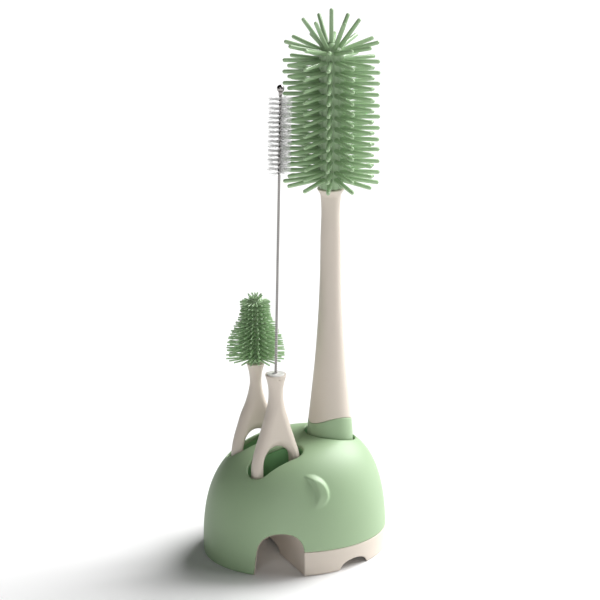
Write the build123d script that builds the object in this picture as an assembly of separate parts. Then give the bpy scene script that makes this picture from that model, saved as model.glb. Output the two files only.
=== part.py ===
from build123d import *
import math
import os

# Baby bottle brush set: three brushes standing in a dome-shaped holder.
# Millimetres. +Z up, X along the holder (arch end at -X), origin under its middle, on the floor.

# Holder dome: a super-ellipse of revolution, stretched, tilted along X and leaned back.
DOME_HALF_X = 51.97
DOME_HALF_Y = 44.83
DOME_HEIGHT = 64.16
DOME_ROUND_SIDE = 3.353
DOME_ROUND_TOP = 2.789
DOME_TILT = 0.127
DOME_LEAN = -0.0438
PROFILE_STEPS = 14
SHELL_WALL = 2.2
FOOT_LIFT = 0.25
FIT_GAP = 0.3
FAR = 200.0

# Tunnel arch through the holder, along Y.
TUNNEL_LEFT = -38.6
TUNNEL_RIGHT = -13.7
TUNNEL_SPRING = 12.4
TUNNEL_HALF = (TUNNEL_RIGHT - TUNNEL_LEFT) / 2
TUNNEL_MID = (TUNNEL_RIGHT + TUNNEL_LEFT) / 2
LINING_WALL = 1.8
LINING_LIP = 0.4
LIP_GAP = 0.1

# Tray with the four legs. The insets are from the dome's half axes.
SEAM_Z = 13.7
SEAM_GAP = 0.12
TRAY_WALL = 2.8
TRAY_FLOOR_Z = 5.4
TRAY_FLOOR = 1.8
SPIGOT_TOP = 17.5
SPIGOT_INSET = 3.1
SPIGOT_WALL = 1.6
SPIGOT_SHIFT = -0.7
LEG_GAP_HALF = 10.0
LEG_GAP_RISE = 4.6
NOTCH_START = 6.0
NOTCH_END = 25.5
NOTCH_RISE = 3.9
NOTCH_CORNER = 2.6
PAD_RADIUS = 4.5
PAD_THICKNESS = 1.5
PAD_WALL = 1.5
PAD_PLACES = [(-6.0, -28.0), (-6.0, 28.0), (36.0, -19.0), (36.0, 19.0)]
DRAIN_RADIUS = 2.0
DRAIN_PITCH = 10.0
DRAIN_ROWS = 3

# Ear relief on each side of the dome.
EAR_MID = (-6.6, 45.2)
EAR_RADIUS = 9.3
EAR_CUT_MID = (-17.2, 45.2)
EAR_CUT_RADIUS = 11.0
EAR_FOOT_Z = 38.2
EAR_SPREAD = 5.5

# Round socket for the large brush.
SOCKET_X = 21.0
SOCKET_RADIUS = 13.9
SOCKET_WALL = 1.8
SOCKET_BOTTOM = 21.0
SOCKET_FLOOR = 2.0

# Two long pockets for the wishbone handles.
POCKET_X = -18.3
POCKET_Y = 14.2
POCKET_LENGTH = 31.6
POCKET_WIDTH = 14.8
POCKET_WALL = 1.6
POCKET_BOTTOM = 28.6
POCKET_FLOOR = 1.6

# Large brush: (height, radius) rings of the cap and handle, the wavy joint between them, the head.
CAP_RINGS = [(23.3, 12.3), (45.0, 12.6), (64.0, 12.6)]
HANDLE_RINGS = [(82.0, 10.8), (105.0, 8.5), (128.0, 6.85), (151.0, 5.85), (174.0, 5.5), (198.5, 5.45)]
NECK_FLARE_Z = 202.3
NECK_FLARE_RADIUS = 7.4
NECK_FLARE_CURVE = 3.7
NECK_TOP = 203.5
CAP_SEAM_Z = 70.7
CAP_SEAM_RISE = 5.5
CAP_SEAM_HALF = 12.5
CAP_CAVITY_RADIUS = 8.4
CAP_CAVITY_TOP = 78.0
CAP_FLOOR = 2.5
SPINE_FOOT_Z = 92.0
SPINE_TOP_Z = 212.0
SPINE_RADIUS = 2.8
HEAD_FOOT_Z = 203.6
HEAD_CORE_RADIUS = 5.8
HEAD_TOP_Z = 283.0
HEAD_RIB_RADIUS = 6.5
HEAD_RIB_WIDTH = 3.0
HEAD_RIB_DROP = 6.0
HEAD_INNER_RADIUS = 3.8
HEAD_INNER_TOP = 276.0
HEAD_COLUMNS = 12
HEAD_TURN = 1.6
HEAD_ROWS = 11
HEAD_ROW_TOP = 273.0
HEAD_ROW_PITCH = 6.0
HEAD_TIP_RADIUS = 26.0
HEAD_ROOT_RADIUS = 4.9
DROOP_ROW = (209.2, -6.0)
RAISED_ROW = (277.6, 15.0)
CROWN_ROOT_RADIUS = 3.2
CROWN_ROOT_Z = 278.7
CROWN_RISE = 55.0
TOP_BRISTLE_Z = 280.0
BRISTLE_ROOT = 1.25
BRISTLE_TIP = 1.05

# Nipple brush. The reaches are (height, tip radius) points of its bell-shaped outline.
NIPPLE_X = -17.4
NIPPLE_FOOT_Z = 105.1
NIPPLE_CORE_RADIUS = 2.9
NIPPLE_ROOT_RADIUS = 2.5
NIPPLE_INNER_RADIUS = 1.5
NIPPLE_INNER_FOOT_Z = 90.5
NIPPLE_TOP_Z = 142.6
NIPPLE_COLUMNS = 20
NIPPLE_TURN = 2.6
NIPPLE_ROW_TOP = 139.9
NIPPLE_ROW_PITCH = 2.44
NIPPLE_ROWS = 14
NIPPLE_REACHES = [
    (139.9, 8.3),
    (133.5, 8.7),
    (129.5, 9.9),
    (126.9, 11.3),
    (123.7, 12.8),
    (121.6, 13.9),
    (118.7, 15.0),
    (116.0, 15.7),
    (113.0, 16.0),
    (106.0, 16.0),
]
NIPPLE_ROOT = 0.52
NIPPLE_TIP = 0.44
NIPPLE_CROWN = 3.9
NIPPLE_CROWN_COUNT = 8
NIPPLE_CROWN_RADIUS = 1.2
NIPPLE_CROWN_Z = 141.6
NIPPLE_CROWN_RISE = 42.0

# Wishbone handles: both forks are the same, the necks differ. (height, half width, half depth)
FORK_Y = 14.4
FORK_SECTIONS = [
    (30.6, 14.0, 4.0),
    (37.0, 14.3, 4.15),
    (43.4, 14.5, 4.3),
    (49.8, 14.5, 4.45),
    (56.2, 14.1, 4.65),
    (62.6, 12.8, 4.7),
    (69.0, 10.8, 4.7),
    (75.4, 8.7, 4.65),
]
STRAW_NECK = [(81.8, 6.8, 4.6), (88.2, 4.95, 4.4), (94.6, 3.95, 3.9), (101.0, 4.15, 4.1), (107.8, 5.7, 5.7)]
NIPPLE_NECK = [(81.8, 5.9, 4.5), (87.6, 4.15, 3.9), (93.4, 3.2, 3.2), (99.2, 3.55, 3.55), (105.0, 4.9, 4.9)]
FORK_CORNER = 0.92
FORK_OPENING_HALF = 8.9
FORK_OPENING_SPRING = 56.0
FORK_OPENING_RISE = 11.0

# Straw brush.
STRAW_X = -18.1
PLUG_RADIUS = 4.8
PLUG_STEM_RADIUS = 2.0
PLUG_FOOT_Z = 106.0
PLUG_TOP_Z = 108.2
WIRE_RADIUS = 0.9
STEM_FOOT_Z = 92.0
WIRE_FOOT_Z = 93.0
WIRE_LEAN = 1.2
NYLON_FOOT_Z = 219.5
NYLON_TOP_Z = 260.0
NYLON_RADIUS = 6.2
BALL_Z = 264.6
BALL_RADIUS = 2.0


def dome(inset):
    """Solid under the dome surface moved inwards by inset; it runs below the floor."""
    unit = 50.0
    steps = [math.pi / 2 * i / PROFILE_STEPS for i in range(PROFILE_STEPS + 1)]
    points = [
        (unit * math.sin(t) ** (2 / DOME_ROUND_SIDE), unit * math.cos(t) ** (2 / DOME_ROUND_TOP))
        for t in steps
    ]
    curve = Spline(*points, tangents=[(1, 0), (0, -1)])
    sides = Polyline((unit, 0), (unit, -unit / 2), (0, -unit / 2), (0, unit))
    solid = revolve(Plane.XZ * make_face([*curve.edges(), *sides.edges()]), Axis.Z)
    half_x = (DOME_HALF_X - inset) / unit
    half_y = (DOME_HALF_Y - inset) / unit
    height = (DOME_HEIGHT - inset) / unit
    share = 1 - DOME_TILT * DOME_LEAN
    z_row = [DOME_TILT * half_x / share, 0, height / share, 0]
    x_row = [half_x + DOME_LEAN * z_row[0], 0, DOME_LEAN * z_row[2], 0]
    return solid.solid().transform_geometry(Matrix([x_row, [0, half_y, 0, 0], z_row]))


def slab(x_low, x_high, z_low, z_high, half_y=FAR):
    """Box between two X and two Z planes."""
    low = (Align.MIN, Align.CENTER, Align.MIN)
    return Pos(x_low, 0, z_low) * Box(x_high - x_low, 2 * half_y, z_high - z_low, align=low)


def arch(half, spring, margin):
    """Tunnel-shaped bar along Y: straight sides with a half-round top."""
    body = slab(TUNNEL_MID - half - margin, TUNNEL_MID + half + margin, -FAR / 4, spring)
    crown = Pos(TUNNEL_MID, 0, spring) * Rot(90, 0, 0) * Cylinder(half + margin, 2 * FAR)
    return body + crown


def stadium(length, width, z_low, z_high):
    """Upright bar with a stadium section."""
    return Pos(0, 0, z_low) * extrude(SlotOverall(length, width), z_high - z_low)


def rod(radius, z_low, z_high):
    """Upright round bar."""
    low = (Align.CENTER, Align.CENTER, Align.MIN)
    return Pos(0, 0, z_low) * Cylinder(radius, z_high - z_low, align=low)


def lathe(points):
    """Solid of revolution about Z under a smooth curve of (height, radius) points."""
    ring = Spline(*[(radius, height) for height, radius in points])
    foot = points[0][0]
    top = points[-1][0]
    lines = Polyline((points[-1][1], top), (0, top), (0, foot), (points[0][1], foot))
    return revolve(Plane.XZ * make_face([*ring.edges(), *lines.edges()]), Axis.Z)


def bristle(root, tip, length):
    """Tapered bristle along +Z with a rounded end."""
    shoulder = length - tip
    side = Polyline((0, 0), (root, 0), (tip, shoulder))
    end = RadiusArc((tip, shoulder), (0, length), -tip)
    axis = Line((0, length), (0, 0))
    return revolve(Plane.XZ * make_face([*side.edges(), *end.edges(), *axis.edges()]), Axis.Z)


def aimed(shape, turn, start_radius, start_z, rise):
    """Shape along +Z moved to point outwards at a turn about Z, rising by an angle."""
    return Rot(0, 0, turn) * Pos(start_radius, 0, start_z) * Rot(0, 90 - rise, 0) * shape


def slots_and_hole(z_low, z_high):
    """Upright bars through the two long slots and the round hole."""
    slot = Pos(POCKET_X, POCKET_Y, 0) * stadium(POCKET_LENGTH, POCKET_WIDTH, z_low, z_high)
    hole = Pos(SOCKET_X, 0, 0) * rod(SOCKET_RADIUS, z_low, z_high)
    return [slot, mirror(slot, Plane.XZ), hole]


def ear():
    """Crescent relief on the near side, flush at its foot and proud at its top."""
    disc = Pos(*EAR_MID) * Circle(EAR_RADIUS)
    disc -= Pos(*EAR_CUT_MID) * Circle(EAR_CUT_RADIUS)
    disc -= Pos(EAR_MID[0], EAR_FOOT_Z) * Rectangle(FAR, FAR, align=(Align.CENTER, Align.MAX))
    bar = extrude(Plane.XZ * disc, FAR)
    hinge = Pos(0, -DOME_HALF_Y, EAR_FOOT_Z)
    spread = hinge * Rot(EAR_SPREAD, 0, 0) * hinge.inverse()
    return bar & (spread * dome(0))


def dome_shell():
    near_ear = ear()
    body = dome(0) + near_ear + mirror(near_ear, Plane.XZ)
    body -= dome(SHELL_WALL)
    body -= slab(-FAR, FAR, -FAR, FOOT_LIFT)
    body -= slab(TUNNEL_RIGHT, FAR, -FAR, SEAM_Z + SEAM_GAP)
    body -= arch(TUNNEL_HALF, TUNNEL_SPRING, LINING_LIP + LIP_GAP)
    for bar in slots_and_hole(SOCKET_BOTTOM, FAR / 2):
        body -= bar
    return body


def brush_socket():
    """Cup under the round hole, with a drain in its floor."""
    outside = rod(SOCKET_RADIUS + SOCKET_WALL, SOCKET_BOTTOM, FAR)
    inside = rod(SOCKET_RADIUS, SOCKET_BOTTOM + SOCKET_FLOOR, FAR)
    drain = rod(DRAIN_RADIUS, 0, FAR)
    return (Pos(SOCKET_X, 0, 0) * (outside - inside - drain)) & dome(SHELL_WALL)


def fork_pocket(y):
    """Long cup under a slot, with a drain in its floor."""
    length = POCKET_LENGTH + 2 * POCKET_WALL
    width = POCKET_WIDTH + 2 * POCKET_WALL
    outside = stadium(length, width, POCKET_BOTTOM, FAR)
    inside = stadium(POCKET_LENGTH, POCKET_WIDTH, POCKET_BOTTOM + POCKET_FLOOR, FAR)
    drain = rod(DRAIN_RADIUS, 0, FAR)
    return (Pos(POCKET_X, y, 0) * (outside - inside - drain)) & dome(SHELL_WALL)


def nipple_brush_pocket():
    return fork_pocket(POCKET_Y)


def straw_brush_pocket():
    return fork_pocket(-POCKET_Y)


def leg_cuts():
    """Gap between the near and far legs, and the notch on each side between front and rear legs."""
    gap = extrude(Plane.YZ * Ellipse(LEG_GAP_HALF, LEG_GAP_RISE), FAR, both=True)
    gap &= slab(TUNNEL_MID, FAR, -FAR, FAR)
    length = NOTCH_END - NOTCH_START
    notch = Pos(NOTCH_START + length / 2, 0) * RectangleRounded(length, 2 * NOTCH_RISE, NOTCH_CORNER)
    return [gap, extrude(Plane.XZ * notch, FAR, both=True)]


def lining():
    """Arched tunnel wall inside the shell, with a thin lip that comes out flush through the shell."""
    wall = arch(TUNNEL_HALF, TUNNEL_SPRING, LINING_WALL)
    wall &= slab(-FAR, TUNNEL_RIGHT + TRAY_WALL, FOOT_LIFT, FAR)
    lip = arch(TUNNEL_HALF, TUNNEL_SPRING, LINING_LIP)
    lip &= slab(-FAR, TUNNEL_RIGHT + LINING_LIP, FOOT_LIFT, FAR)
    return (wall & dome(SHELL_WALL + FIT_GAP)) + (lip & dome(0))


def leg_bosses():
    """Round bosses over the pads, from the feet to the tray floor."""
    boss = rod(PAD_RADIUS + PAD_WALL, FOOT_LIFT, TRAY_FLOOR_Z + TRAY_FLOOR / 2)
    return [Pos(x, y, 0) * boss for x, y in PAD_PLACES]


def oval(inset, x_low, z_low, z_high):
    """Upright elliptical bar inside the dome's outline, cut off at a plane across X."""
    section = Pos(SPIGOT_SHIFT, 0, z_low) * Ellipse(DOME_HALF_X - inset, DOME_HALF_Y - inset)
    return extrude(section, z_high - z_low) & slab(x_low, FAR, z_low, z_high)


def base_tray():
    body = dome(0) & slab(TUNNEL_RIGHT, FAR, FOOT_LIFT, SEAM_Z)
    body += oval(SPIGOT_INSET, TUNNEL_RIGHT, SEAM_Z - TRAY_WALL, SPIGOT_TOP)
    body -= oval(TRAY_WALL, TUNNEL_RIGHT + TRAY_WALL, -FAR, TRAY_FLOOR_Z)
    tray_top = TRAY_FLOOR_Z + TRAY_FLOOR
    body -= oval(SPIGOT_INSET + SPIGOT_WALL, TUNNEL_RIGHT + TRAY_WALL, tray_top, FAR)
    body += lining()
    body -= arch(TUNNEL_HALF, TUNNEL_SPRING, 0)
    for cut in leg_cuts():
        body -= cut
    body += leg_bosses()
    body -= [Pos(x, y, 0) * rod(PAD_RADIUS, 0, PAD_THICKNESS) for x, y in PAD_PLACES]
    drain = rod(DRAIN_RADIUS, 0, FAR)
    places = GridLocations(DRAIN_PITCH, DRAIN_PITCH, DRAIN_ROWS, DRAIN_ROWS)
    body -= [Pos(DRAIN_PITCH, 0, 0) * place * drain for place in places]
    return body


def grip_pads():
    pad = rod(PAD_RADIUS, 0, PAD_THICKNESS)
    return Compound([Pos(x, y, 0) * pad for x, y in PAD_PLACES])


def handle_body():
    """Outside of the cap and handle together, up to the neck."""
    outside = lathe([*CAP_RINGS, *HANDLE_RINGS])
    foot_z, foot_radius = HANDLE_RINGS[-1]
    foot = (foot_radius, foot_z)
    shoulder = (NECK_FLARE_RADIUS, NECK_FLARE_Z)
    flare = RadiusArc(foot, shoulder, -NECK_FLARE_CURVE)
    edge = Polyline(shoulder, (NECK_FLARE_RADIUS, NECK_TOP), (0, NECK_TOP), (0, foot_z), foot)
    return outside + revolve(Plane.XZ * make_face([*flare.edges(), *edge.edges()]), Axis.Z)


def below_seam():
    """Space under the wavy joint between cap and handle; the joint is high on the near and far sides."""
    reach = 2 * CAP_SEAM_HALF
    high = CAP_SEAM_Z + CAP_SEAM_RISE * (reach / CAP_SEAM_HALF) ** 2
    wave = Bezier((-reach, high), (0, 2 * CAP_SEAM_Z - high), (reach, high))
    sides = Polyline((reach, high), (reach, 0), (-reach, 0), (-reach, high))
    return extrude(Plane.YZ * make_face([*wave.edges(), *sides.edges()]), FAR, both=True)


def cavity():
    """Hollow inside the cap and the foot of the handle."""
    return rod(CAP_CAVITY_RADIUS, CAP_RINGS[0][0] + CAP_FLOOR, CAP_CAVITY_TOP)


def handle_cap():
    return Pos(SOCKET_X, 0, 0) * ((handle_body() & below_seam()) - cavity())


def handle_grip():
    hollow = cavity() + rod(SPINE_RADIUS, SPINE_FOOT_Z, FAR * 2)
    return Pos(SOCKET_X, 0, 0) * (handle_body() - below_seam() - hollow)


def handle_spine():
    return Pos(SOCKET_X, 0, 0) * rod(SPINE_RADIUS, SPINE_FOOT_Z, SPINE_TOP_Z)


def bottle_head_core():
    core = rod(HEAD_INNER_RADIUS, HEAD_FOOT_Z, HEAD_INNER_TOP)
    core -= rod(SPINE_RADIUS, HEAD_FOOT_Z, SPINE_TOP_Z)
    return Pos(SOCKET_X, 0, 0) * core


def head_bristles():
    """All bristles of the large head: straight rows, a drooping foot row, and the crown."""
    reach = HEAD_TIP_RADIUS - HEAD_ROOT_RADIUS
    one = bristle(BRISTLE_ROOT, BRISTLE_TIP, reach)
    rows = [(HEAD_ROW_TOP - HEAD_ROW_PITCH * row, 0.0) for row in range(HEAD_ROWS)]
    rows += [DROOP_ROW, RAISED_ROW]
    made = []
    for column in range(HEAD_COLUMNS):
        turn = HEAD_TURN + 360 / HEAD_COLUMNS * column
        made += [aimed(one, turn, HEAD_ROOT_RADIUS, z, rise) for z, rise in rows]
        if column % 2 == 1:
            made.append(aimed(one, turn, CROWN_ROOT_RADIUS, CROWN_ROOT_Z, CROWN_RISE))
    made.append(Pos(0, 0, TOP_BRISTLE_Z) * one)
    return made


def bottle_head():
    body = rod(HEAD_CORE_RADIUS, HEAD_FOOT_Z, HEAD_TOP_Z - HEAD_CORE_RADIUS / 2)
    body += Pos(0, 0, HEAD_TOP_Z - HEAD_CORE_RADIUS) * Sphere(HEAD_CORE_RADIUS)
    rib = slab(0, HEAD_RIB_RADIUS, HEAD_FOOT_Z, HEAD_TOP_Z - HEAD_RIB_DROP, HEAD_RIB_WIDTH / 2)
    step = 360 / HEAD_COLUMNS
    body += [Rot(0, 0, HEAD_TURN + step * column) * rib for column in range(HEAD_COLUMNS)]
    body += head_bristles()
    body -= rod(HEAD_INNER_RADIUS, HEAD_FOOT_Z, HEAD_INNER_TOP)
    return Pos(SOCKET_X, 0, 0) * body


def nipple_reach(z):
    """Tip radius of the small head's bristles at a height, from the outline points."""
    for (z_high, r_high), (z_low, r_low) in zip(NIPPLE_REACHES, NIPPLE_REACHES[1:]):
        if z >= z_low:
            return r_low + (r_high - r_low) * (z - z_low) / (z_high - z_low)
    return NIPPLE_REACHES[-1][1]


def ring_of(shape, start_radius, start_z, rise, count):
    """Copies of a bristle around the head."""
    turns = [NIPPLE_TURN + 360 / count * step for step in range(count)]
    return [aimed(shape, turn, start_radius, start_z, rise) for turn in turns]


def nipple_bristles():
    """All bristles of the small head."""
    made = []
    for row in range(NIPPLE_ROWS):
        z = NIPPLE_ROW_TOP - NIPPLE_ROW_PITCH * row
        one = bristle(NIPPLE_ROOT, NIPPLE_TIP, nipple_reach(z) - NIPPLE_ROOT_RADIUS)
        made += ring_of(one, NIPPLE_ROOT_RADIUS, z, 0.0, NIPPLE_COLUMNS)
    crown = bristle(NIPPLE_ROOT, NIPPLE_TIP, NIPPLE_CROWN)
    made += ring_of(crown, NIPPLE_CROWN_RADIUS, NIPPLE_CROWN_Z, NIPPLE_CROWN_RISE, NIPPLE_CROWN_COUNT)
    made.append(Pos(0, 0, NIPPLE_CROWN_Z) * crown)
    return made


def nipple_place():
    return Pos(NIPPLE_X, FORK_Y, 0)


def nipple_head():
    body = rod(NIPPLE_CORE_RADIUS, NIPPLE_FOOT_Z, NIPPLE_TOP_Z - NIPPLE_CORE_RADIUS)
    body += Pos(0, 0, NIPPLE_TOP_Z - NIPPLE_CORE_RADIUS) * Sphere(NIPPLE_CORE_RADIUS)
    body += nipple_bristles()
    body -= rod(NIPPLE_INNER_RADIUS, NIPPLE_FOOT_Z, NIPPLE_TOP_Z - 2 * NIPPLE_CORE_RADIUS)
    return nipple_place() * body


def nipple_core():
    top = NIPPLE_TOP_Z - 2 * NIPPLE_CORE_RADIUS
    return nipple_place() * rod(NIPPLE_INNER_RADIUS, NIPPLE_INNER_FOOT_Z, top)


def wishbone(neck):
    """Forked handle: rounded sections lofted up from the feet to the neck, less the arched opening."""
    sections = []
    for z, half_width, half_depth in [*FORK_SECTIONS, *neck]:
        corner = FORK_CORNER * min(half_width, half_depth)
        outline = RectangleRounded(2 * half_width, 2 * half_depth, corner)
        sections.append(Pos(0, 0, z) * outline)
    spring = Pos(0, FORK_OPENING_SPRING)
    opening = spring * Ellipse(FORK_OPENING_HALF, FORK_OPENING_RISE)
    opening += spring * Rectangle(2 * FORK_OPENING_HALF, FAR, align=(Align.CENTER, Align.MAX))
    return loft(sections) - extrude(Plane.XZ * opening, FAR, both=True)


def nipple_handle():
    bore = rod(NIPPLE_INNER_RADIUS, NIPPLE_INNER_FOOT_Z, FAR)
    return nipple_place() * (wishbone(NIPPLE_NECK) - bore)


def straw_place():
    return Pos(STRAW_X, -FORK_Y, 0)


def lean():
    """Slight lean of the wire about its foot."""
    return Pos(0, 0, PLUG_TOP_Z) * Rot(0, WIRE_LEAN, 0) * Pos(0, 0, -PLUG_TOP_Z)


def plug():
    """Round end plug with a stem that runs down into the neck."""
    disc = rod(PLUG_RADIUS, PLUG_FOOT_Z, PLUG_TOP_Z)
    return disc + rod(PLUG_STEM_RADIUS, STEM_FOOT_Z, PLUG_FOOT_Z)


def straw_handle():
    return straw_place() * (wishbone(STRAW_NECK) - plug())


def straw_end_plug():
    return straw_place() * (plug() - lean() * rod(WIRE_RADIUS, WIRE_FOOT_Z, FAR))


def straw_wire():
    return straw_place() * lean() * rod(WIRE_RADIUS, WIRE_FOOT_Z, BALL_Z)


def straw_bristles():
    tuft = rod(NYLON_RADIUS, NYLON_FOOT_Z, NYLON_TOP_Z)
    tuft -= rod(WIRE_RADIUS, NYLON_FOOT_Z, NYLON_TOP_Z)
    return straw_place() * lean() * tuft


def straw_tip_ball():
    ball = Pos(0, 0, BALL_Z) * Sphere(BALL_RADIUS)
    ball -= rod(WIRE_RADIUS, WIRE_FOOT_Z, BALL_Z)
    return straw_place() * lean() * ball


PARTS = [
    base_tray,
    grip_pads,
    dome_shell,
    brush_socket,
    nipple_brush_pocket,
    straw_brush_pocket,
    handle_grip,
    handle_cap,
    handle_spine,
    bottle_head_core,
    bottle_head,
    nipple_handle,
    nipple_core,
    nipple_head,
    straw_handle,
    straw_end_plug,
    straw_wire,
    straw_bristles,
    straw_tip_ball,
]


def main():
    """Writes one STEP file per sub-part."""
    os.makedirs("parts", exist_ok=True)
    for part in PARTS:
        export_step(part(), f"parts/{part.__name__}.step")


if __name__ == "__main__":
    main()
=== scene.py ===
import math

import bmesh
import bpy
import numpy as np
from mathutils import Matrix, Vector


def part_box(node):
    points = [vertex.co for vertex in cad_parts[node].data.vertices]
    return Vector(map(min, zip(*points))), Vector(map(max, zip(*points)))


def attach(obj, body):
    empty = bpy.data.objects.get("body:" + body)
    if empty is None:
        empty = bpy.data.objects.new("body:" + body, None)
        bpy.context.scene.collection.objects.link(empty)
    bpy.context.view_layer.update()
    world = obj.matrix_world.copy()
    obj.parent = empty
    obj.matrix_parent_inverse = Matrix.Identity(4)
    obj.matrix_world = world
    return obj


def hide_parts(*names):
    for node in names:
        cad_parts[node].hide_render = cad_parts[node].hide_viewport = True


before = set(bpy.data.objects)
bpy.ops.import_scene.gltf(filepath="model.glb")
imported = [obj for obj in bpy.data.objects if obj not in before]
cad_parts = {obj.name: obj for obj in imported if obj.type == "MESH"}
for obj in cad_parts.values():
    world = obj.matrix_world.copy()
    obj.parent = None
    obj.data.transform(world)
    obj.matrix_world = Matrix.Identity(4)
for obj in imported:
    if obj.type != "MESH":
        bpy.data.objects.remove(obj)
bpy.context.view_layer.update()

MM = 0.001
TINY = 1e-6
WELD = 1e-6  # metres between vertices that count as one


# ---------------------------------------------------------------- places from the frame

def corners(node):
    """Lowest and highest corner of a CAD node, in millimetres."""
    low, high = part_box(node)
    return np.array(low) / MM, np.array(high) / MM


def middle(node):
    """Middle of a CAD node's box, in millimetres."""
    low, high = corners(node)
    return (low + high) / 2


# ---------------------------------------------------------------- meshes from distance functions

def mesh_piece(name, points, faces, body, replaces, smooth=True):
    """New mesh object from points in millimetres, riding on a body and standing for CAD nodes."""
    mesh = bpy.data.meshes.new(name)
    mesh.from_pydata((np.asarray(points) * MM).tolist(), [], [list(f) for f in faces])
    mesh.validate()
    mesh.update()
    for polygon in mesh.polygons:
        polygon.use_smooth = smooth
    piece = bpy.data.objects.new(name, mesh)
    bpy.context.collection.objects.link(piece)
    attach(piece, body)
    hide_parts(*replaces)
    return piece


def gradient(field, points, step=0.02):
    """Gradient of a field at points, by central differences."""
    grad = np.empty_like(points)
    for axis in range(3):
        shift = np.zeros(3)
        shift[axis] = step
        grad[:, axis] = (field(points + shift) - field(points - shift)) / (2 * step)
    return grad


def surface_net(field, low, high, cell):
    """Closed quad surface where the field is zero (negative inside), between two corners."""
    low, high = np.asarray(low, float), np.asarray(high, float)
    counts = np.ceil((high - low) / cell).astype(int) + 1
    axes = [low[i] + cell * np.arange(counts[i]) for i in range(3)]
    values = np.empty(counts, dtype=np.float32)
    for i, x in enumerate(axes[0]):
        sheet = np.stack(np.meshgrid([x], axes[1], axes[2], indexing="ij"), -1).reshape(-1, 3)
        values[i] = field(sheet).reshape(counts[1], counts[2])
    inside = values < 0
    cells = tuple(counts - 1)
    total = np.zeros(cells + (3,))
    hits = np.zeros(cells)
    crossings = []
    for axis in range(3):
        first = [slice(None)] * 3
        second = [slice(None)] * 3
        first[axis], second[axis] = slice(0, -1), slice(1, None)
        a, b = values[tuple(first)], values[tuple(second)]
        edge = np.argwhere((a < 0) != (b < 0))
        va, vb = a[tuple(edge.T)], b[tuple(edge.T)]
        where = edge.astype(float)
        where[:, axis] += va / (va - vb)
        crossings.append((axis, edge, va < 0))
        others = [k for k in range(3) if k != axis]
        for du in (0, 1):
            for dv in (0, 1):
                owner = edge.copy()
                owner[:, others[0]] -= du
                owner[:, others[1]] -= dv
                good = np.all((owner >= 0) & (owner < np.array(cells)), axis=1)
                index = tuple(owner[good].T)
                np.add.at(total, index, where[good])
                np.add.at(hits, index, 1)
    used = hits > 0
    number = np.full(cells, -1)
    number[used] = np.arange(used.sum())
    points = low + cell * total[used] / hits[used][:, None]
    faces = []
    for axis, edge, leaving in crossings:
        u, v = [(1, 2), (2, 0), (0, 1)][axis]
        ring = []
        for du, dv in ((1, 1), (0, 1), (0, 0), (1, 0)):
            owner = edge.copy()
            owner[:, u] -= du
            owner[:, v] -= dv
            ring.append(number[tuple(owner.T)])
        quads = np.stack(ring, 1)
        quads[~leaving] = quads[~leaving][:, ::-1]
        faces.append(quads)
    return points, np.concatenate(faces)


def settle(field, points, rounds=6, longest=0.3):
    """Moves points onto the zero surface of a field, by no more than longest in a round."""
    for _ in range(rounds):
        value = field(points)
        grad = gradient(field, points)
        size = np.maximum((grad ** 2).sum(1), 1e-3)
        move = -value[:, None] * grad / size[:, None]
        length = np.linalg.norm(move, axis=1, keepdims=True)
        points = points + move * np.minimum(1, longest / np.maximum(length, 1e-9))
    return points


def carved(name, field, low, high, cell, body, replaces):
    """Piece whose surface is the zero level of a field between two corners."""
    points, faces = surface_net(field, low, high, cell)
    return mesh_piece(name, settle(field, points), faces, body, replaces)


def smooth_max(a, b, radius):
    """Larger of two distances, with the edge between them rounded."""
    mix = np.maximum(radius - np.abs(a - b), 0) / radius
    return np.maximum(a, b) + mix * mix * radius / 4


def smooth_min(a, b, radius):
    return -smooth_max(-a, -b, radius)


def rounded(values, radius):
    """Intersection of several solids with rounded outer edges."""
    result = values[0]
    for value in values[1:]:
        result = smooth_max(result, value, radius)
    return result


# ---------------------------------------------------------------- holder: dome and tray

def loose_boxes(node):
    """Box of each separate solid in a CAD node, in millimetres."""
    work = bmesh.new()
    work.from_mesh(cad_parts[node].data)
    bmesh.ops.remove_doubles(work, verts=work.verts, dist=WELD)
    left = set(work.verts)
    boxes = []
    while left:
        group, stack = [], [left.pop()]
        while stack:
            vert = stack.pop()
            group.append(vert.co[:])
            for edge in vert.link_edges:
                other = edge.other_vert(vert)
                if other in left:
                    left.remove(other)
                    stack.append(other)
        group = np.array(group) / MM
        boxes.append((group.min(0), group.max(0)))
    work.free()
    return boxes


PAD_BOXES = loose_boxes("grip_pads")
TRAY_LOW, TRAY_HIGH = corners("base_tray")
SHELL_LOW, SHELL_HIGH = corners("dome_shell")
FLOOR_Z = TRAY_LOW[2]

# Dome: a super-ellipse whose top tilts with x and whose middle leans with height.
HALF_Y = TRAY_HIGH[1]
HALF_X = HALF_Y * 1.1593
DOME_HEIGHT = HALF_Y * 1.4312
ROUND_SIDE = 3.353
ROUND_TOP = 2.789
TILT = 0.127
LEAN = -0.0438
LEAST_SLOPE = 0.008
FIELD_LIMIT = 12
WALL = 2.2
RIM_ROUND = 0.5
CUT_ROUND = 0.25
SLOT_ROUND = 0.9
POCKET_WALL = 1.6
SOCKET_WALL = 1.8

# Joint between dome and tray.
SEAM_Z = 13.4
SEAM_SLOPE = -0.045
SEAM_GAP = 0.12

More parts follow.
